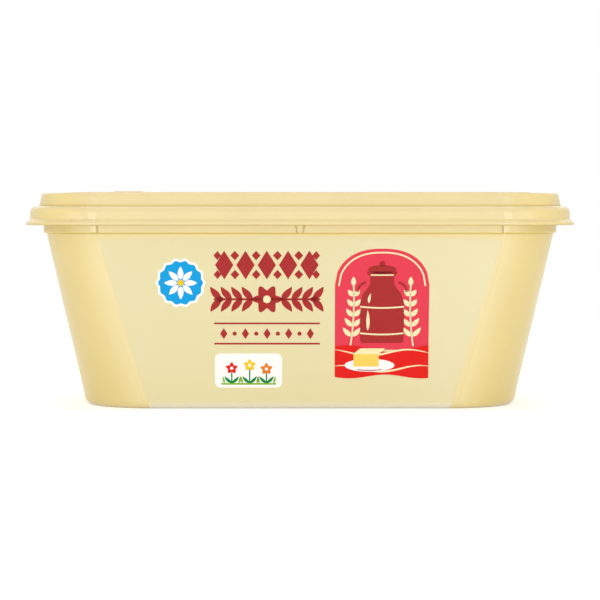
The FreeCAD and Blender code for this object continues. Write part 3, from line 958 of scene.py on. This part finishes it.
def camera_or_mirror(tree):
    """One where the camera looks straight at something, or sees it mirrored or through glass."""
    path = put(tree, "ShaderNodeLightPath").outputs
    mirrored = maths(tree, "MAXIMUM", path["Is Glossy Ray"], path["Is Transmission Ray"])
    return maths(tree, "MAXIMUM", path["Is Camera Ray"], mirrored)


def sweep_look(lift=0.42, near=0.12, far=0.5):
    """White paper. To the camera it is a little brighter than it is, so that it reads as white and
    still holds the tub's shadow, and away from the tub it turns to plain white."""
    material = bpy.data.materials.new("sweep_look")
    material.use_nodes = True
    tree = material.node_tree
    tree.nodes.clear()
    paper = put(tree, "ShaderNodeBsdfDiffuse", {"Color": PAPER})
    seen = camera_or_mirror(tree)
    glow = put(tree, "ShaderNodeEmission", {"Strength": maths(tree, "MULTIPLY", seen, lift)})
    lifted = put(tree, "ShaderNodeAddShader", {0: paper.outputs[0], 1: glow.outputs[0]})
    place = put(tree, "ShaderNodeTexCoord").outputs["Object"]
    distance = put(tree, "ShaderNodeVectorMath", {0: place}, operation="LENGTH").outputs["Value"]
    away = maths(tree, "MULTIPLY", remap(tree, distance, near, far, 0.0, 1.0), seen)
    white = put(tree, "ShaderNodeEmission", {"Strength": 1.0})
    shown = put(tree, "ShaderNodeMixShader", {0: away, 1: lifted.outputs[0], 2: white.outputs[0]})
    put(tree, "ShaderNodeOutputMaterial", {"Surface": shown.outputs[0]})
    return material


floor = sweep()
floor.data.materials.append(sweep_look())


def sky(level=0.59):
    """An even sky: white to the camera and in reflections, and at the given level as light."""
    world = bpy.data.worlds.new("studio_sky")
    bpy.context.scene.world = world
    world.use_nodes = True
    tree = world.node_tree
    tree.nodes.clear()
    strength = remap(tree, camera_or_mirror(tree), 0.0, 1.0, level, 1.0)
    light = put(tree, "ShaderNodeBackground", {"Color": (1, 1, 1, 1), "Strength": strength})
    put(tree, "ShaderNodeOutputWorld", {"Surface": light.outputs[0]})


def lamp(name, place, aim, width, height, power):
    """A soft rectangular lamp at a place, turned to face its aim."""
    data = bpy.data.lights.new(name, "AREA")
    data.shape = "RECTANGLE"
    data.size, data.size_y, data.energy = width, height, power
    light = bpy.data.objects.new(name, data)
    light.location = place
    direction = np.array(aim) - np.array(place)
    tip = math.atan2(math.hypot(direction[0], direction[1]), -direction[2])
    turn = math.atan2(-direction[0], direction[1])
    light.rotation_euler = (tip, 0, turn)
    bpy.context.scene.collection.objects.link(light)


sky()
AIM = (0, 0, 0.03)
# Name, place, width and height in metres, and power in watts.
MIDDLE_LAMPS = (
    ("level_lamp", (0, -0.9, 0.05), 0.9, 0.1, 1.35),
    ("front_lamp", (0, -1.4, 0.7), 1.3, 0.5, 3.0),
    ("top_lamp", (0, 0.1, 1.5), 0.9, 0.9, 4.6),
    ("back_lamp", (0, 1.6, 1.0), 2.4, 0.8, 5.0),
)
for name, place, width, height, power in MIDDLE_LAMPS:
    lamp(name, place, AIM, width, height, power)
for side in (-1, 1):
    lamp("level_side_lamp", (side * 0.9, -1.0, 0.06), AIM, 0.6, 0.12, 1.44)
    lamp("end_lamp", (side * 1.4, -0.05, 0.35), AIM, 0.8, 0.6, 0.3)

# %% [markdown]
# ## Camera
#
# The tub is seen square on, from just under the height of its lid, through a long lens.

# %% Camera and view

CAMERA_AWAY = 0.560
CAMERA_HEIGHT = 0.0513
CAMERA_LENS = 131.28
CAMERA_DIP = 2.255

camera_data = bpy.data.cameras.new("camera")
camera_data.lens = CAMERA_LENS
camera_data.sensor_width = 36
camera_data.clip_start = 0.01
camera = bpy.data.objects.new("camera", camera_data)
camera.location = (0, SKIRT_FRONT - CAMERA_AWAY, CAMERA_HEIGHT)
camera.rotation_euler = (math.radians(90 - CAMERA_DIP), 0, 0)
bpy.context.scene.collection.objects.link(camera)
bpy.context.scene.camera = camera
bpy.context.scene.view_settings.view_transform = "Standard"
